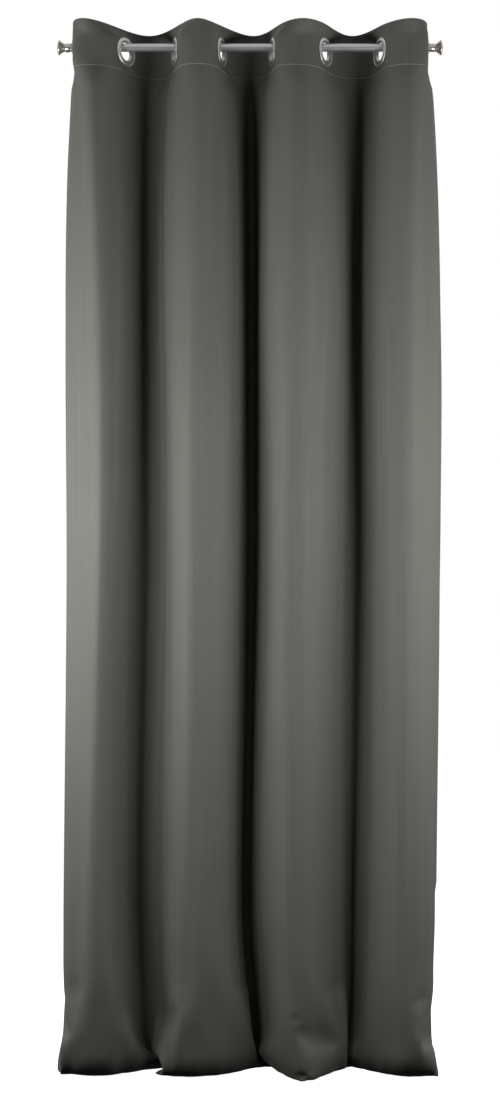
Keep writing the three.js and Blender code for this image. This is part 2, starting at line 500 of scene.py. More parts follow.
@dataclass
class FoldLine:
    """The line of the cloth seen from above, by the distance along the cloth.

    flat_half is half of the flat stretch at each eyelet, crown is how far each fold stands out
    beyond a plain curve, and bend is the stretch in which an outer edge turns to the wall.
    """

    folds: Folds
    flat_half: float = 0.0
    width: float = 1.448
    crown: float = 0.016
    bend: float = 0.022
    steps: int = 40
    depths: tuple[float, float] = (0.02, 0.12)

    def __post_init__(self) -> None:
        """Draws the line at the cloth's own length.

        With flats, each fold takes the cloth between two eyelets. Without them, all folds are
        equally deep and share the whole cloth.
        """
        self.pitch = self.width / EYELETS
        signs = [-1 if number % 2 == 0 else 1 for number in range(EYELETS)]
        angles = [sign * math.radians(turn) for sign, turn in zip(signs, self.folds.turns)]
        self.ways = [Vector((math.cos(angle), math.sin(angle), 0)) for angle in angles]
        self.centres = [Vector((x, 0, 0)) for x in self.folds.places]
        if self.flat_half:
            points = self._between_flats()
        else:
            points = self._solve(self.width, self._through, *self.depths)
        flat = np.array([(p.x, p.y) for p in points])
        gaps = np.hypot(*np.diff(flat, axis=0).T)
        self.along = np.concatenate([[0], np.cumsum(gaps)])
        self.along *= self.width / self.along[-1]
        self.line = flat

    @staticmethod
    def _solve(
        wanted: float, draw: Callable[[float], list[Vector]], low: float, high: float
    ) -> list[Vector]:
        """Finds the curve of a wanted length by halving the range of its one number.

        Args:
            wanted: The length.
            draw: Draws the curve for a number; a larger number makes it longer.
            low: The lowest number.
            high: The highest number.

        Returns:
            The curve's points.
        """
        for _ in range(40):
            middle = (low + high) / 2
            curve = draw(middle)
            length = sum((b - a).length for a, b in zip(curve, curve[1:]))
            low, high = (middle, high) if length < wanted else (low, middle)
        return curve

    def _between_flats(self) -> list[Vector]:
        """Draws the line through the eyelets, flat behind each ring.

        Returns:
            Its points.
        """
        half = self.flat_half
        ends = [(c - w * half, c + w * half) for c, w in zip(self.centres, self.ways)]
        points = [self.centres[0] - self.ways[0] * (self.pitch / 2)]
        for left in range(EYELETS - 1):
            start, stop = ends[left][1], ends[left + 1][0]
            way_in, way_out = self.ways[left], self.ways[left + 1]
            points.append(ends[left][0])
            points += self._solve(
                self.pitch - 2 * half,
                lambda reach: interpolate_bezier(
                    start, start + way_in * reach, stop - way_out * reach, stop, self.steps
                ),
                0.0, self.pitch,
            )
        points.append(ends[-1][0])
        return points + [self.centres[-1] + self.ways[-1] * (self.pitch / 2)]

    def _through(self, depth: float) -> list[Vector]:
        """Draws the line through the crossings, with an end turned back on each side.

        Args:
            depth: How far every fold reaches from the rod's plane, before its crown.

        Returns:
            Its points.
        """
        points = self._turned_back(0)[::-1]
        # A Bezier curve reaches three quarters as far as its handles
        reach = depth / 0.75
        for left in range(EYELETS - 1):
            start, stop = self.centres[left], self.centres[left + 1]
            way_in, way_out = self.ways[left], self.ways[left + 1]
            curve = interpolate_bezier(
                start, start + way_in * (reach / abs(way_in.y)),
                stop - way_out * (reach / abs(way_out.y)), stop, self.steps,
            )
            side = math.copysign(self.crown, way_in.y)
            for step, point in enumerate(curve):
                point.y += side * math.sin(math.pi * step / (self.steps - 1)) ** 2
            points += curve[:-1]
        return points + [self.centres[-1]] + self._turned_back(EYELETS - 1)

    def _turned_back(self, number: int) -> list[Vector]:
        """Draws the cloth beyond an outer crossing, which bends straight back to the wall.

        Args:
            number: The crossing, the first or the last.

        Returns:
            Its points, outwards from the crossing.
        """
        side = -1 if number == 0 else 1
        turn = math.radians(self.folds.turns[number])
        step = self.pitch / 2 / self.steps
        place = self.centres[number].copy()
        points = []
        for count in range(self.steps):
            bent = min(1.0, (count + 0.5) * step / self.bend)
            angle = turn + max(0.0, math.pi / 2 - turn) * bent
            place = place + Vector((side * math.cos(angle), math.sin(angle), 0)) * step
            points.append(place)
        return points

    def at(self, along: np.ndarray) -> np.ndarray:
        """Points (x, y) of the line at distances along the cloth."""
        return np.stack([np.interp(along, self.along, self.line[:, k]) for k in (0, 1)], -1)


def spline_weights(knots: Sequence[float], places: np.ndarray, slope: float = 1.0) -> np.ndarray:
    """Weights of a smooth curve through samples at rising knots.

    Args:
        knots: Where the samples stand.
        places: Where the curve is read, in any shape.
        slope: How much of its neighbours' slope the curve has at each knot.

    Returns:
        The weight of each sample in a last axis.
    """
    knots = np.asarray(knots, float)
    last = len(knots) - 1
    places = np.clip(places, knots[0], knots[-1])
    base = np.clip(np.searchsorted(knots, places, side="right") - 1, 0, last - 1)
    gap = knots[base + 1] - knots[base]
    share = (places - knots[base]) / gap
    samples = np.eye(last + 1)
    slopes = np.gradient(samples, knots, axis=0) * slope
    near = 2 * share**3 - 3 * share**2 + 1
    near_slope = share**3 - 2 * share**2 + share
    far_slope = share**3 - share**2
    return (
        near[..., None] * samples[base]
        + (1 - near)[..., None] * samples[base + 1]
        + (near_slope * gap)[..., None] * slopes[base]
        + (far_slope * gap)[..., None] * slopes[base + 1]
    )


@dataclass
class Drape:
    """How the panel hangs, from the folds that the rings hold to those near the floor.

    ring_band is where the rings keep the cloth flat, down from the top edge, and ring_flat is
    half of the flat stretch. The folds below are given at five heights.
    """

    width: float = 1.448
    length: float = 2.464
    top: float = 0.048
    heading: float = 0.103
    floor: float = CAD_LOW.z
    face_offset: float = 0.0014
    brow: Folds = Folds(
        0.0,
        (-0.407, -0.310, -0.172, -0.060, 0.060, 0.186, 0.297, 0.408),
        (94, 53, 59, 54, 66, 63, 62, 94),
    )
    shoulder: Folds = Folds(
        0.15,
        (-0.411, -0.290, -0.190, -0.047, 0.038, 0.194, 0.288, 0.422),
        (68, 56, 72, 66, 76, 56, 69, 76),
    )
    waist: Folds = Folds(
        1.10,
        (-0.418, -0.284, -0.195, -0.036, 0.032, 0.199, 0.283, 0.433),
        (43, 57, 68, 66, 72, 54, 62, 58),
    )
    knee: Folds = Folds(
        2.02,
        (-0.425, -0.296, -0.205, -0.042, 0.028, 0.184, 0.272, 0.428),
        (46, 57, 68, 66, 70, 54, 60, 60),
    )
    ankle: Folds = Folds(
        2.44,
        (-0.421, -0.268, -0.192, -0.012, 0.056, 0.186, 0.266, 0.420),
        (54, 58, 68, 62, 68, 58, 66, 66),
    )
    ring_band: tuple[float, float] = (0.034, 0.082)
    ring_flat: float = 0.0345
    brow_crown: float = -0.006
    slope: float = 0.25
    sway: float = 0.0022
    sway_starts: tuple[float, float] = (0.12, 0.9)
    seed: int = 5

    def __post_init__(self) -> None:
        """Draws the folds at each height."""
        places = tuple(JOINTS[f"turn_{k}"]["pos_m"][0] for k in range(1, EYELETS + 1))
        rings = FoldLine(Folds(0.0, places, EYELET_TURNS), self.ring_flat)
        lines = [(0.0, FoldLine(self.brow, crown=self.brow_crown))]
        lines += [(height, rings) for height in self.ring_band]
        for folds in (self.shoulder, self.waist, self.knee, self.ankle):
            lines.append((folds.down, FoldLine(folds)))
        self.heights = [height for height, _ in lines]
        self.lines = [line for _, line in lines]
        random = np.random.default_rng(self.seed)
        self.waves = random.uniform(0, 2 * math.pi, (4,))

    def surface(self, across: np.ndarray, down: np.ndarray) -> np.ndarray:
        """Points of the cloth's middle before it settles on the floor.

        Args:
            across: Distances along the cloth's width.
            down: Distances below the top edge, as many.

        Returns:
            Points, one row each.
        """
        weights = spline_weights(self.heights, down, self.slope)
        flat = sum(weights[..., k, None] * line.at(across) for k, line in enumerate(self.lines))
        x = flat[..., 0] + self._sway(across, down)
        y = flat[..., 1] + 0.5 * self._sway(across + 0.31, down)
        return np.stack([x, y, self.top - down], -1)

    def _sway(self, across: np.ndarray, down: np.ndarray) -> np.ndarray:
        """How far the folds wander sideways, slowly and slightly, down the cloth.

        Args:
            across: Distances along the cloth's width.
            down: Distances below the top edge, as many.

        Returns:
            As many shifts.
        """
        free = smooth_step(down, *self.sway_starts) * self.sway
        a, b, c, d = self.waves
        slow = np.sin(across * 9.1 + down * 2.3 + a) + np.sin(across * 17.3 - down * 3.1 + b)
        fine = np.sin(across * 31.0 + down * 1.7 + c) * np.sin(down * 2.9 + d)
        return free * (slow + fine)

    def normals(self, across: np.ndarray, down: np.ndarray) -> np.ndarray:
        """Level directions out of the cloth's face, towards the room.

        Args:
            across: Distances along the cloth's width.
            down: Distances below the top edge, as many.

        Returns:
            Unit vectors, one row each.
        """
        step = 0.002
        right = self.surface(np.clip(across + step, 0, self.width), down)
        left = self.surface(np.clip(across - step, 0, self.width), down)
        way = right - left
        way /= np.linalg.norm(way, axis=-1, keepdims=True)
        return np.stack([way[..., 1], -way[..., 0], np.zeros_like(across)], -1)

    def face(self, across: np.ndarray, down: np.ndarray) -> np.ndarray:
        """Points of the face itself, which stands in front of the eyelets' middle line."""
        return self.surface(across, down) + self.normals(across, down) * self.face_offset


@dataclass
class Skirt:
    """The lowest stretch of the cloth, settled on the floor by a cloth simulation.

    held and free are the distances below its top at which the cloth stops being held and is
    wholly free. The tucks lead the hem of each forward fold to the wall, from tuck_height up,
    and side_tuck and side_lift place the two outer edges, the left one first. What settles
    outside sides and faces is drawn back to them but for a share, give.
    """

    drape: Drape
    height: float = 0.46
    columns: int = 112
    rows: int = 34
    frames: int = 48
    held: float = 0.05
    free: float = 0.30
    start_gap: float = 0.03
    hem: float = 0.09
    bending: float = 18.0
    hem_bending: float = 50.0
    stretch: float = 60.0
    tucks: tuple[float, ...] = (0.030, 0.032, 0.020, 0.030)
    side_tuck: tuple[float, float] = (0.02, 0.0)
    side_lift: tuple[float, float] = (0.022, 0.016)
    sides: tuple[float, float] = (-0.434, 0.426)
    faces: tuple[float, float] = (-0.064, 0.090)
    give: float = 0.25
    film: float = 0.003
    tuck_height: float = 0.09
    edge_band: tuple[float, float] = (0.04, 0.16)
    mass: float = 0.3
    contact: float = 0.003
    ground_size: tuple[float, float, float] = (2.4, 1.4, 0.1)
    rise: float = 0.6

    def settle(self) -> np.ndarray:
        """Runs the simulation.

        Returns:
            How far each point of the coarse grid moved, as rows, columns and three numbers.
        """
        across, down = self.grid()
        rest = self.drape.face(across, down)
        cloth = self._cloth_object(self._tucked(rest, across, down))
        ground = self._ground_object()
        scene = bpy.context.scene
        scene.frame_start = 1
        scene.frame_end = self.frames
        for step in range(1, self.frames + 1):
            scene.frame_set(step)
        evaluated = cloth.evaluated_get(bpy.context.evaluated_depsgraph_get())
        moved = np.zeros(rest.size)
        evaluated.data.vertices.foreach_get("co", moved)
        for thing in (cloth, ground):
            bpy.data.objects.remove(thing, do_unlink=True)
        scene.frame_set(1)
        moved = moved.reshape(rest.shape)
        for axis, low, high in ((0, *self.sides), (1, *self.faces)):
            line = moved[..., axis]
            over = np.maximum(line - high, 0) + np.minimum(line - low, 0)
            line -= over * (1 - self.give)
        return moved - rest

    def grid(self) -> tuple[np.ndarray, np.ndarray]:
        """Distances across and down for each point of the coarse grid."""
        down = np.linspace(self.drape.length - self.height, self.drape.length, self.rows + 1)
        across = np.linspace(0, self.drape.width, self.columns + 1)
        return tuple(np.meshgrid(across, down))

    def _tucked(self, rest: np.ndarray, across: np.ndarray, down: np.ndarray) -> np.ndarray:
        """Leads the grid's hem under the folds, so that it settles inwards.

        Args:
            rest: The grid's points as they hang.
            across: How far across the cloth each stands.
            down: How far down it each stands.

        Returns:
            The points to start from.
        """
        share = np.clip((down - self.drape.length + self.tuck_height) / self.tuck_height, 0, 1)
        right = across > self.drape.width / 2
        edge = 1 - smooth_step(np.minimum(across, self.drape.width - across), *self.edge_band)
        side_tuck = np.where(right, self.side_tuck[1], -self.side_tuck[0])
        side_lift = np.where(right, self.side_lift[1], self.side_lift[0])
        low = smooth_step(down, self.drape.length - self.height, self.drape.length)
        start = rest.copy()
        start[..., 0] -= side_tuck * edge * share**2
        pitch = self.drape.width / EYELETS
        tuck = np.interp(across, [pitch * (2 * bulge + 1) for bulge in range(4)], self.tucks)
        start[..., 1] += tuck * (1 - edge) * share**2
        start[..., 2] += side_lift * edge * low
        return start

    def _cloth_object(self, start: np.ndarray) -> bpy.types.Object:
        """Makes the coarse grid an object that hangs from its top rows.

        Args:
            start: The points that it starts from.

        Returns:
            The object, with a Cloth modifier.
        """
        shape = bmesh.new()
        ordered = grid_rows(shape, self.columns, self.rows)
        for number, (vert, place) in enumerate(zip(ordered, start.reshape(-1, 3))):
            vert.co = place
            vert.index = number
        shape.verts.sort()
        cloth = linked("skirt_trial", mesh_from("skirt_trial", shape))
        pins = cloth.vertex_groups.new(name="pins")
        firm = cloth.vertex_groups.new(name="firm")
        for row in range(self.rows + 1):
            below = self.height * row / self.rows
            weight = float(1 - smooth_step(np.array(below), self.held, self.free))
            first = row * (self.columns + 1)
            line = list(range(first, first + self.columns + 1))
            pins.add(line, weight, "REPLACE")
            firm.add(line, 1.0 if below > self.height - self.hem else 0.0, "REPLACE")
        self._soften(cloth)
        return cloth

    def _soften(self, cloth: bpy.types.Object) -> None:
        """Gives the grid the weight, stiffness and contacts of the cloth.

        Args:
            cloth: The grid's object, with its groups pins and firm.
        """
        modifier = cloth.modifiers.new("settle", "CLOTH")
        settings = modifier.settings
        settings.quality = 8
        settings.mass = self.mass
        settings.tension_stiffness = self.stretch
        settings.compression_stiffness = self.stretch
        settings.shear_stiffness = 12
        settings.bending_stiffness = self.bending
        settings.vertex_group_bending = "firm"
        settings.bending_stiffness_max = self.hem_bending
        settings.tension_damping = 8
        settings.compression_damping = 8
        settings.shear_damping = 8
        settings.bending_damping = 1.0
        settings.air_damping = 3
        settings.vertex_group_mass = "pins"
        settings.pin_stiffness = 1.0
        contact = modifier.collision_settings
        contact.use_collision = True
        contact.distance_min = self.contact
        contact.use_self_collision = True
        contact.self_distance_min = self.contact
        contact.self_friction = 4
        contact.collision_quality = 3
        modifier.point_cache.frame_start = 1
        modifier.point_cache.frame_end = self.frames

    def _ground_object(self) -> bpy.types.Object:
        """Makes a slab that rises to the floor's height and carries the cloth.

        Returns:
            The slab, with a Collision modifier.
        """
        shape = bmesh.new()
        bmesh.ops.create_cube(shape, size=1.0)
        bmesh.ops.scale(shape, vec=self.ground_size, verts=shape.verts)
        bmesh.ops.translate(shape, vec=(0, 0, -self.ground_size[2] / 2), verts=shape.verts)
        ground = linked("ground_trial", mesh_from("ground_trial", shape))
        ground.modifiers.new("ground", "COLLISION")
        ground.collision.thickness_outer = 0.002
        ground.collision.cloth_friction = 12
        for step, height in ((1, self.start_gap), (int(self.frames * self.rise), 0.0)):
            ground.location.z = self.drape.floor - self.film - height
            ground.keyframe_insert("location", index=2, frame=step)
        return ground


@dataclass
class Panel:
    """The panel's cloth with its heading, hems, stitches and label.

    ripple and rumple are how far the long ripples and the rumples near the floor stand out, and
    crease is how deep the drawn folds under each ring are. row_inset is how far inside a hem's
    edge its stitches run, and row_end is where a row of stitches stops short of the cloth's edge.
    """

    drape: Drape
    columns_in_pitch: int = 26
    heading_thickness: float = 0.0028
    single_thickness: float = 0.0009
    hole: float = 0.0265
    bottom_hem: float = 0.09
    side_hem: float = 0.025
    stitch: float = 0.0034
    stitch_gap: float = 0.0009
    stitch_radius: float = 0.00045
    hem_thickness: float = 0.0021
    label_size: tuple[float, float] = (0.03, 0.05)
    label_above_hem: float = 0.12
    label_thickness: float = 0.0005
    label_inset: float = 0.0004
    label_gap: float = 0.0003
    label_margin: float = 0.002
    ripple: float = 0.0042
    rumple: float = 0.003
    crease: float = 0.0009
    crease_slants: tuple[float, ...] = (-0.75, 0.0, 0.75)
    pull: float = 0.0004
    pucker: float = 0.0003
    row_inset: float = 0.003
    row_end: float = 0.004
    lift: float = 0.0002

    def __post_init__(self) -> None:
        """Lays out the columns, and the rows, which stand closest at the seam and the hem."""
        drape = self.drape
        columns = self.columns_in_pitch * EYELETS
        self.across = np.linspace(0, drape.width, columns + 1)
        seam = drape.heading
        skirt = drape.length - Skirt.height
        hem = drape.length - self.bottom_hem
        self.down = np.concatenate([
            np.linspace(0, seam - 0.006, 19),
            np.linspace(seam - 0.003, seam + 0.006, 4),
            np.linspace(seam + 0.014, skirt, 84)[:-1],
            np.linspace(skirt, hem - 0.002, 48),
            np.linspace(hem + 0.002, drape.length, 13),
        ])
        self.points = self._shape()

    def _shape(self) -> np.ndarray:
        """Shapes the face: hung, settled on the floor, and with its ripples and its seam.

        Returns:
            Its points, as rows, columns and three numbers.
        """
        across, down = np.meshgrid(self.across, self.down)
        points = self.drape.face(across, down)
        normals = self.drape.normals(across, down)
        skirt = Skirt(self.drape)
        moved = skirt.settle()
        rows = (self.down - (self.drape.length - skirt.height)) / skirt.height * skirt.rows
        low = rows >= 0
        by_row = spline_weights(range(skirt.rows + 1), rows[low])
        by_column = spline_weights(
            range(skirt.columns + 1), self.across / self.drape.width * skirt.columns
        )
        points[low] += np.einsum("ri,ijk,cj->rck", by_row, moved, by_column)
        points += normals * (self._ripples(across, down) - self._seam(across, down))[..., None]
        points[..., 2] = np.maximum(points[..., 2], self.drape.floor + 0.0004)
        return points

    def _seam(self, across: np.ndarray, down: np.ndarray) -> np.ndarray:
        """How far the stitches pull the face in under the heading, with puckers along them.

        Args:
            across: Distances along the cloth's width.
            down: Distances below the top edge, as many.

        Returns:
            As many depths.
        """
        pull = np.exp(-(((down - self.drape.heading) / 0.0022) ** 2))
        pucker = 1 + 0.35 * np.sin(across * 2 * math.pi / 0.021) * np.sin(across * 61.0)
        beside = np.exp(-(((down - self.drape.heading - 0.016) / 0.014) ** 2))
        small = np.sin(across * 2 * math.pi / 0.027 + 1.5 * np.sin(across * 19.0))
        return pull * pucker * self.pull + beside * small * self.pucker

    def _ripples(self, across: np.ndarray, down: np.ndarray) -> np.ndarray:
        """How far the face stands out in ripples, in drawn folds under the rings and in rumples.

        Args:
            across: Distances along the cloth's width.
            down: Distances below the top edge, as many.

        Returns:
            As many heights.
        """
        pitch = self.drape.width / EYELETS
        free = smooth_step(down, self.drape.heading, 0.34)
        low = smooth_step(down, self.drape.length - 0.5, self.drape.length - 0.12)
        found = np.zeros(across.shape)
        for spot in np.ndindex(across.shape):
            u, v = float(across[spot]), float(down[spot])
            long = noise(Vector((u * 34, v * 1.3, 2.0)))
            long += 0.8 * noise(Vector((u * 15, v * 0.8, 7.0)))
            wide = noise(Vector((u * 17, v * 9.0, 4.0)))
            found[spot] = long * self.ripple * free[spot] + wide * self.rumple * low[spot]
        beside = (across % pitch) - pitch / 2
        below = down - 0.09
        fade = smooth_step(below, 0.0, 0.02) * (1 - smooth_step(below, 0.05, 0.12))
        for slant in self.crease_slants:
            crease = np.exp(-(((beside - slant * below) / 0.006) ** 2))
            found -= crease * fade * self.crease
        return found

    def layer(self, across: float, down: float) -> Layer:
        """Tells how many plies the cloth has at a place.

        Args:
            across: The place's distance from the left edge.
            down: Its distance below the top edge.

        Returns:
            The layer there.
        """
        if down < self.drape.heading:
            return Layer.HEADING
        edge = min(across, self.drape.width - across)
        if edge < self.side_hem or self.drape.length - down < self.bottom_hem:
            return Layer.HEM
        return Layer.SINGLE

    def build(self) -> bpy.types.Object:
        """Makes the cloth as one closed mesh with its eyelet holes.

        Returns:
            The cloth's piece.
        """
        shape = bmesh.new()
        uv_layer = shape.loops.layers.uv.new("flat")
        ordered = grid_rows(shape, len(self.across) - 1, len(self.down) - 1)
        flat = [(u, v) for v in self.down for u in self.across]
        place_of = {}
        for vert, place, uv in zip(ordered, self.points.reshape(-1, 3), flat):
            vert.co = place
            place_of[vert] = uv
        for face in shape.faces:
            for loop in face.loops:
                loop[uv_layer].uv = place_of[loop.vert]
        self._open_holes(shape, place_of, uv_layer)
        bmesh.ops.recalc_face_normals(shape, faces=shape.faces)
        if sum(face.normal.y for face in shape.faces) > 0:
            bmesh.ops.reverse_faces(shape, faces=shape.faces)
        weights = [self.layer(*place_of[vert]).value for vert in shape.verts]
        return self._thicken(mesh_from("cloth_trial", shape), weights)

    def _open_holes(self, shape: bmesh.types.BMesh, place_of: dict, uv_layer: Any) -> None:
        """Opens the eyelet holes and draws their edges round.

        Args:
            shape: The cloth's single sheet.
            place_of: Each vertex's place on the flat cloth, across and down.
            uv_layer: The layer that holds the flat cloth's places.
        """
        pitch = self.drape.width / EYELETS
        centre_down = self.drape.top - JOINTS["turn_1"]["pos_m"][2]
        for number in range(EYELETS):
            middle = Vector(((number + 0.5) * pitch, centre_down))
            inside = []
            for face in shape.faces:
                corners = [Vector(place_of[vert]) for vert in face.verts]
                if (sum(corners, Vector((0, 0))) / 4 - middle).length < self.hole:
                    inside.append(face)
            rim = {vert for face in inside for vert in face.verts}
            bmesh.ops.delete(shape, geom=inside, context="FACES")
            for vert in (vert for vert in rim if vert.is_valid):
                away = Vector(place_of[vert]) - middle
                place = middle + away.normalized() * self.hole
                place_of[vert] = tuple(place)
                vert.co = self.drape.face(np.array(place.x), np.array(place.y))
                for loop in vert.link_loops:
                    loop[uv_layer].uv = place

    def _thicken(self, mesh: bpy.types.Mesh, weights: list[float]) -> bpy.types.Object:
        """Gives the sheet its plies and makes it a piece.

        Args:
            mesh: The single sheet.
            weights: How thick each vertex is, from a single ply at 0 to the heading at 1.

        Returns:
            The cloth's piece.
        """
        trial = linked("cloth_trial", mesh)
        plies = trial.vertex_groups.new(name="plies")
        for index, weight in enumerate(weights):
            plies.add([index], weight, "REPLACE")
        solid = trial.modifiers.new("plies", "SOLIDIFY")
        solid.thickness = self.heading_thickness
        solid.thickness_vertex_group = self.single_thickness / self.heading_thickness
        solid.vertex_group = "plies"
        solid.offset = -1
        solid.use_rim = True
        evaluated = trial.evaluated_get(bpy.context.evaluated_depsgraph_get())
        shape = bmesh.new()
        shape.from_mesh(evaluated.data)
        bpy.data.objects.remove(trial, do_unlink=True)
        nodes = [name for name in frame["nodes"] if name.split("_")[0] in CLOTH_NODES]
        return make_piece("cloth_panel", shape, SATIN, "panel", nodes, 60)

    def spot(self, across: np.ndarray, down: np.ndarray) -> tuple[np.ndarray, np.ndarray]:
        """Reads the face and its directions at places on the flat cloth.

        Args:
            across: Distances along the cloth's width.
            down: Distances below the top edge, as many.

        Returns:
            The points, and the directions out of the face, one row each.
        """
        step = 0.004
        right = self._read(across + step, down) - self._read(across - step, down)
        below = self._read(across, down + step) - self._read(across, down - step)
        out = np.cross(below, right)
        return self._read(across, down), out / np.linalg.norm(out, axis=-1, keepdims=True)

    def _read(self, across: np.ndarray, down: np.ndarray) -> np.ndarray:
        """Reads the face between its rows and columns.

        Args:
            across: Distances along the cloth's width.
            down: Distances below the top edge, as many.

        Returns:
            The points, one row each.
        """
        column = np.interp(across, self.across, np.arange(len(self.across)))
        row = np.interp(down, self.down, np.arange(len(self.down)))
        left = np.minimum(column.astype(int), len(self.across) - 2)
        top = np.minimum(row.astype(int), len(self.down) - 2)
        right, low = (column - left)[..., None], (row - top)[..., None]
        grid = self.points
        upper = grid[top, left] * (1 - right) + grid[top, left + 1] * right
        lower = grid[top + 1, left] * (1 - right) + grid[top + 1, left + 1] * right
        return upper * (1 - low) + lower * low

    def sew(
        self, name: str, across: Sequence[float], down: Sequence[float], lift: float
    ) -> bpy.types.Object:
        """Lays rows of stitches on the cloth, through corners given on the flat cloth.

        Args:
            name: The piece's name.
            across: Where the corners stand across the cloth.
            down: Where they stand down it.
            lift: How far the stitches stand out of the face; below zero on the wall side.

        Returns:
            The rows of stitches as one piece.
        """
        # Enough steps for the row to follow every fold
        place = np.linspace(0, len(across) - 1, 700 * (len(across) - 1))
        points, out = self.spot(
            np.interp(place, range(len(across)), across), np.interp(place, range(len(down)), down)
        )
        out = out * math.copysign(1.0, lift)
        points = points + out * abs(lift)
        along = np.concatenate([[0], np.cumsum(np.linalg.norm(np.diff(points, axis=0), axis=1))])

        def at(distance: float, table: np.ndarray) -> Vector:
            """Reads a table of vectors at a distance along the row."""
            return Vector([float(np.interp(distance, along, table[:, k])) for k in range(3)])

        one = self._stitch()
        shape = bmesh.new()
        for start in np.arange(0.002, along[-1] - self.stitch, self.stitch + self.stitch_gap):
            low, high = at(start, points), at(start + self.stitch, points)
            way = (high - low).normalized()
            side = way.cross(at(start, out)).normalized()
            turn = Matrix((side, side.cross(way), way)).transposed().to_4x4()
            turn.translation = (low + high) / 2
            before = len(shape.verts)
            shape.from_mesh(one)
            shape.verts.ensure_lookup_table()
            bmesh.ops.transform(shape, matrix=turn, verts=shape.verts[before:])
        return make_piece(name, shape, THREAD_WITH_PAINTED_HIGHLIGHT, "panel", (), 80)

    def _stitch(self) -> bpy.types.Mesh:
        """Makes one stitch, a short rod of thread with tapered ends that dip into the cloth.

        Returns:
            Its mesh, lying along Z with the cloth at -Y.
        """
        shape = bmesh.new()
        bmesh.ops.create_cone(
            shape, cap_ends=True, cap_tris=False, segments=6, depth=self.stitch,
            radius1=self.stitch_radius, radius2=self.stitch_radius,
        )
        for face in [face for face in shape.faces if abs(face.normal.z) > 0.9]:
            tip = Vector((0, -self.stitch_radius, math.copysign(self.stitch * 0.12, face.normal.z)))
            for cap in bmesh.ops.extrude_discrete_faces(shape, faces=[face])["faces"]:
                bmesh.ops.scale(shape, vec=(0.45, 0.45, 1), verts=cap.verts)
                bmesh.ops.translate(shape, vec=tip, verts=cap.verts)
        return mesh_from("one_stitch", shape)

    def label(self) -> bpy.types.Object:
        """Makes the blank care label behind the right-hand side hem.

        Returns:
            The label's piece.
        """
        shape = bmesh.new()
        bmesh.ops.create_grid(shape, x_segments=12, y_segments=20, size=0.5)
        width, height = self.label_size
        low = self.drape.length - self.bottom_hem - self.label_above_hem
        verts = list(shape.verts)
        flat = np.array([tuple(vert.co) for vert in verts])
        across = self.drape.width - self.label_inset - width * (0.5 - flat[:, 0])
        points, out = self.spot(across, low - height * (0.5 + flat[:, 1]))
        for vert, place, way in zip(verts, points, out):
            vert.co = place - way * (self.hem_thickness + self.label_gap)
        bmesh.ops.recalc_face_normals(shape, faces=shape.faces)
        if shape.faces[0].normal.dot(Vector(out[0])) < 0:
            bmesh.ops.reverse_faces(shape, faces=shape.faces)
        bmesh.ops.solidify(shape, geom=list(shape.faces), thickness=-self.label_thickness)
        bmesh.ops.recalc_face_normals(shape, faces=shape.faces)
        return make_piece(
            "blank_care_label", shape, TAPE, "panel", ["care_label"], 60
        )

    def threads(self) -> list[bpy.types.Object]:
        """Sews every row of stitches.

        Returns:
            The rows of the heading, of the hems and of the label.
        """
        drape, end, inset, margin = self.drape, self.row_end, self.row_inset, self.label_margin
        whole = (end, drape.width - end)
        sides = (drape.heading + end, drape.length - end)
        left, right = self.side_hem - inset, drape.width - self.side_hem + inset
        seam = drape.heading
        hem = drape.length - self.bottom_hem + inset
        behind = -self.hem_thickness - self.lift
        label_top = drape.length - self.bottom_hem - self.label_above_hem
        label_left = drape.width - self.label_size[0] + margin
        label_low = label_top - self.label_size[1] + margin
        return [
            self.sew("heading_stitches", whole, (seam, seam), self.lift),
            self.sew("heading_stitches_behind", whole, (seam, seam), behind),
            self.sew("left_hem_stitches", (left, left), sides, behind),
            self.sew("right_hem_stitches", (right, right), sides, behind),
            self.sew("bottom_hem_stitches", whole, (hem, hem), behind),
            self.sew(
                "label_stitches", (label_left, label_left, drape.width - inset),
                (label_top - margin, label_low, label_low),
                behind - self.label_thickness - self.lift,
            ),
        ]


# ---------------------------------------------------------------- rod, finials and eyelets


@dataclass
class Rod:
    """The steel tube that carries the eyelets."""

    wall: float = 0.001
    chamfer: float = 0.0003
    sides: int = 96

    def build(self) -> bpy.types.Object:
        """Makes the tube along X, at the CAD tube's size.

        Returns:
            The tube's piece.
        """
        low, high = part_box("rod_tube")
        radius = (high.z - low.z) / 2
        half = (high.x - low.x) / 2
        bore = radius - self.wall
        profile = [
            (bore, -half), (radius - self.chamfer, -half), (radius, -half + self.chamfer),
            (radius, half - self.chamfer), (radius - self.chamfer, half), (bore, half),
        ]
        shape = spun(profile, self.sides)
        lay_along_x(shape, (low.x + high.x) / 2, 1)
        return make_piece("rod_steel_tube", shape, STEEL, "rod", ["rod_tube"])


def lay_along_x(shape: bmesh.types.BMesh, place: float, side: int) -> None:
    """Turns a shape made about Z to lie along X, and moves it along the rod.

    Args:
        shape: The shape.
        place: Where its foot stands along X.
        side: The side that its top points to, -1 or 1.
    """
    turn = Matrix.Rotation(side * math.pi / 2, 4, "Y")
    turn.translation = Vector((place, 0, 0))
    bmesh.ops.transform(shape, matrix=turn, verts=shape.verts)


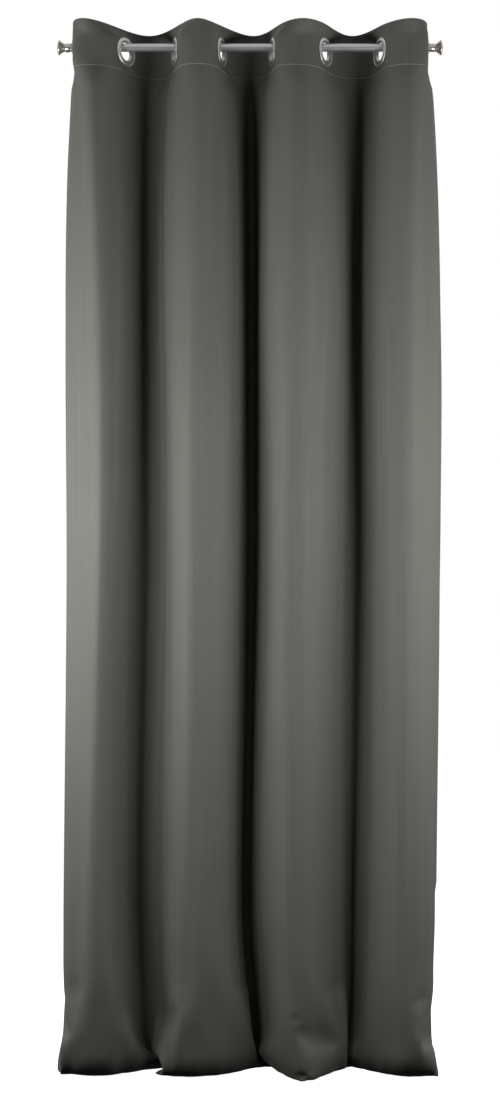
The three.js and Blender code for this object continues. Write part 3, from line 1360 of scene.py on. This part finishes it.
@dataclass
class Finial:
    """A flared end cap and the bung that holds it in the tube.

    The cap's lengths run outwards from the tube's end. The sleeve reaches back over the tube.
    """

    side: int
    mouth: float = 0.0043
    hollow: float = 0.0083
    neck: float = 0.0095
    sleeve: float = 0.012
    sleeve_wall: float = 0.0005
    widest: float = 0.018
    flare: float = 0.017
    dome: float = 0.005
    rim: float = 0.0012
    dome_radius: float = 0.0158
    sides: int = 96

    @property
    def name(self) -> str:
        """The finial's name, left or right."""
        return "finial_left" if self.side < 0 else "finial_right"

    def _collar(self) -> list[tuple[float, float]]:
        """Draws the hollow foot and the sleeve over the tube's end.

        Returns:
            Points of the profile, as radius and length.
        """
        over = self.neck + self.sleeve_wall
        inside = self.neck + 0.0001
        return [
            (0.0, self.hollow), (self.mouth, self.hollow), (self.mouth, 0.0), (inside, 0.0),
            (inside, -self.sleeve), (over - 0.0002, -self.sleeve), (over, -self.sleeve + 0.0003),
            (over, 0.0014), (self.neck, 0.0022),
        ]

    def _bell(self) -> list[tuple[float, float]]:
        """Draws the flare, its rolled rim and its domed face.

        Returns:
            Points of the profile, as radius and length.
        """
        flare = interpolate_bezier(
            Vector((self.neck - 0.0006, 0.0032, 0)), Vector((self.neck + 0.0004, 0.0085, 0)),
            Vector((0.0138, 0.0125, 0)), Vector((self.widest - self.rim, self.flare - 0.001, 0)), 16,
        )
        edge = arc((self.widest - self.rim, self.flare), self.rim, -70, 80, 6)
        rise = self.dome - self.rim
        angles = [math.pi / 2 * step / 10 for step in range(10)]
        dome = [
            (self.dome_radius * math.cos(angle), self.flare + self.rim + rise * math.sin(angle))
            for angle in angles
        ]
        return [(point.x, point.y) for point in flare] + edge + dome + [(0.0, self.flare + self.dome)]

    def build(self) -> list[bpy.types.Object]:
        """Makes the cap, and gives the bung, which keeps its CAD shape, its plastic.

        Returns:
            The cap and the bung.
        """
        low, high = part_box(f"{self.name}_cap")
        seat = high.x if self.side < 0 else low.x
        shape = spun(self._collar() + self._bell(), self.sides)
        lay_along_x(shape, seat, self.side)
        cap = make_piece(
            f"{self.name}_flare", shape, WARM_NICKEL, self.name, [f"{self.name}_cap"]
        )
        bung = frame["nodes"][f"{self.name}_bung"]
        bung.data.materials.clear()
        bung.data.materials.append(material_of(PLASTIC))
        return [cap, bung]


@dataclass
class Eyelet:
    """A front ring with its barrel, and the back ring that snaps over it.

    seat is half of the gap between the two rings, which holds the cloth.
    """

    number: int
    bore: float = 0.020
    rim: float = 0.033
    barrel_wall: float = 0.0012
    seat: float = 0.0017
    front_thickness: float = 0.0028
    back_thickness: float = 0.0022
    lip: float = 0.0005
    barrel_play: float = 0.0003
    swell: float = 0.0011
    sides: int = 96

    def place(self, shape: bmesh.types.BMesh) -> None:
        """Turns a ring made about Z to stand with the cloth at its place on the rod.

        Args:
            shape: The ring, with its face at +Z.
        """
        sign = -1 if self.number % 2 else 1
        angle = sign * math.radians(EYELET_TURNS[self.number - 1])
        turn = Matrix.Rotation(angle, 4, "Z") @ Matrix.Rotation(math.pi / 2, 4, "X")
        turn.translation = Vector(JOINTS[f"turn_{self.number}"]["pos_m"])
        bmesh.ops.transform(shape, matrix=turn, verts=shape.verts)

    def _front(self) -> list[tuple[float, float]]:
        """Draws the front ring: a rolled mouth, a swelling face, a rolled rim and the barrel.

        Returns:
            The points of its profile, as radius and height.
        """
        outer, inner, seat = self.rim, self.bore, self.seat
        face = seat + self.front_thickness
        end = -(seat + self.back_thickness + self.lip)
        tube = inner + self.barrel_wall
        shares = [step / 14 for step in range(1, 15)]
        swell = [
            (
                inner + 0.0022 + (outer - inner - 0.0042) * share,
                face - self.swell * (2 * share - 0.75) ** 2,
            )
            for share in shares
        ]
        return (
            [(inner, end + 0.0004), (inner, seat + 0.0008)]
            + arc((inner + 0.002, face - 0.0024), 0.002, 180, 112, 6)
            + swell
            + arc((outer - 0.0011, seat + 0.0011), 0.0011, 60, -60, 8)
            + [(outer - 0.0016, seat), (tube, seat), (tube, end), (inner + 0.0004, end)]
        )

    def _back(self) -> list[tuple[float, float]]:
        """Draws the back ring, a shallow dish with a rolled rim.

        Returns:
            The points of its profile, as radius and height.
        """
        outer, seat = self.rim, self.seat
        face = -(seat + self.back_thickness)
        bore = self.bore + self.barrel_wall + self.barrel_play
        return (
            [(bore, -seat), (outer - 0.0006, -seat)]
            + arc((outer - 0.0009, -seat - 0.0009), 0.0009, 70, -60, 6)
            + [(outer - 0.004, face + 0.0003), (bore + 0.003, face), (bore, face)]
        )

    def build(self) -> list[bpy.types.Object]:
        """Makes the two rings.

        Returns:
            The front ring and the back ring.
        """
        made = []
        for side, profile in (("front", self._front()), ("back", self._back())):
            shape = spun(profile, self.sides)
            self.place(shape)
            made.append(make_piece(
                f"eyelet_{self.number}_{side}", shape, NICKEL,
                f"eyelet_{self.number}", [f"eyelet_{self.number}_{side}_ring"],
            ))
        return made


# ---------------------------------------------------------------- studio


@dataclass(frozen=True)
class SoftBox:
    """A soft box that faces the panel's middle: its place, its size and its power in watts."""

    name: str
    place: tuple[float, float, float]
    size: tuple[float, float]
    power: float


@dataclass
class Studio:
    """The camera, five soft boxes, a pale floor and a white surround.

    ambient is how brightly the surround lights the cloth, and reflected is how bright it looks
    in the metal, below the camera and above it. shown_between is the rise of the view between
    the two, from straight down at -1 to straight up at 1.
    """

    distance: float = 4.3
    height: float = -1.3717
    lens: float = 59.97
    shift: float = 0.0745
    ambient: float = 0.004
    reflected: tuple[float, float] = (0.05, 0.75)
    shown_between: tuple[float, float] = (-0.25, 0.5)
    floor_drop: float = 0.0005
    aim: tuple[float, float, float] = (0, 0, -1.02)
    boxes: tuple[SoftBox, ...] = (
        SoftBox("left_key", (-1.85, -0.43, -1.02), (0.8, 0.9), 26),
        SoftBox("left_near", (-1.05, -0.85, -1.02), (0.5, 0.6), 10.5),
        SoftBox("right_fill", (1.15, -1.04, -1.02), (0.8, 0.7), 15),
        SoftBox("right_side", (1.85, -0.43, -1.02), (0.8, 0.9), 14),
        SoftBox("wall_side", (0.3, 2.3, -0.8), (1.8, 1.4), 26),
    )

    def camera(self) -> None:
        """Places the level camera at the panel's middle."""
        data = bpy.data.cameras.new("camera")
        data.sensor_width = 36
        data.lens = self.lens
        data.shift_y = self.shift
        data.clip_end = 60
        camera = linked("camera", data)
        camera.location = (0, -self.distance, self.height)
        camera.rotation_euler = (math.pi / 2, 0, 0)
        bpy.context.scene.camera = camera

    def light(self, box: SoftBox) -> None:
        """Adds one soft box.

        Args:
            box: The soft box.
        """
        data = bpy.data.lights.new(box.name, "AREA")
        data.shape = "RECTANGLE"
        data.size, data.size_y = box.size
        data.energy = box.power
        lamp = linked(box.name, data)
        lamp.location = box.place
        way = Vector(self.aim) - Vector(box.place)
        lamp.rotation_euler = way.to_track_quat("-Z", "Y").to_euler()

    def surround(self) -> None:
        """A white surround that shows behind the panel and in the metal, but hardly lights it."""
        world = bpy.data.worlds.new("surround")
        bpy.context.scene.world = world
        world.use_nodes = True
        nodes, links = world.node_tree.nodes, world.node_tree.links
        nodes.clear()

        def glow(strength: float) -> bpy.types.NodeSocket:
            """An even white of some strength.

            Args:
                strength: How bright it is.

            Returns:
                Its shader socket.
            """
            node = nodes.new("ShaderNodeBackground")
            node.inputs["Color"].default_value = (1, 1, 1, 1)
            node.inputs["Strength"].default_value = strength
            return node.outputs[0]

        def mixed(share: bpy.types.NodeSocket, *pair: bpy.types.NodeSocket) -> bpy.types.NodeSocket:
            """Mixes two surrounds.

            Args:
                share: The share of the second one.
                pair: The two shader sockets.

            Returns:
                The mix's shader socket.
            """
            node = nodes.new("ShaderNodeMixShader")
            links.new(share, node.inputs["Fac"])
            for number, shown in enumerate(pair, 1):
                links.new(shown, node.inputs[number])
            return node.outputs[0]

        path = nodes.new("ShaderNodeLightPath").outputs
        parts = nodes.new("ShaderNodeSeparateXYZ")
        links.new(nodes.new("ShaderNodeTexCoord").outputs["Generated"], parts.inputs[0])
        above = nodes.new("ShaderNodeMapRange")
        above.inputs["From Min"].default_value = self.shown_between[0]
        above.inputs["From Max"].default_value = self.shown_between[1]
        links.new(parts.outputs["Z"], above.inputs["Value"])
        mirrored = mixed(above.outputs[0], glow(self.reflected[0]), glow(self.reflected[1]))
        shown = mixed(path["Is Glossy Ray"], glow(self.ambient), mirrored)
        shown = mixed(path["Is Camera Ray"], shown, glow(1.0))
        links.new(shown, nodes.new("ShaderNodeOutputWorld").inputs["Surface"])

    def floor(self) -> None:
        """A pale floor that the panel just touches."""
        shape = bmesh.new()
        bmesh.ops.create_grid(shape, x_segments=1, y_segments=1, size=12)
        bmesh.ops.translate(shape, vec=(0, 0, CAD_LOW.z - self.floor_drop), verts=shape.verts)
        floor = linked("studio_floor", mesh_from("studio_floor", shape))
        floor.data.materials.append(Shader("pale_floor").finish(
            Base_Color=(0.82, 0.82, 0.82, 1), Roughness=0.9,
            Emission_Color=(1, 1, 1, 1), Emission_Strength=1.0,
        ))
        floor.visible_diffuse = False
        floor.visible_glossy = False

    def build(self) -> None:
        """Sets the whole studio up."""
        self.camera()
        self.surround()
        self.floor()
        for box in self.boxes:
            self.light(box)
        bpy.context.scene.view_settings.view_transform = "Standard"


def main() -> None:
    """Builds the studio and every piece, and reports each."""
    logging.basicConfig(level=logging.INFO, format="%(name)s: %(message)s")
    Studio().build()
    drape = Drape()
    panel = Panel(drape)
    cloth = panel.build()
    sewn = [panel.label(), *panel.threads()]
    Rod().build()
    for side in (-1, 1):
        Finial(side).build()
    for number in range(1, EYELETS + 1):
        Eyelet(number).build()
    for piece in (cloth, *sewn):
        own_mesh(piece)


if __name__ == "__main__":
    main()
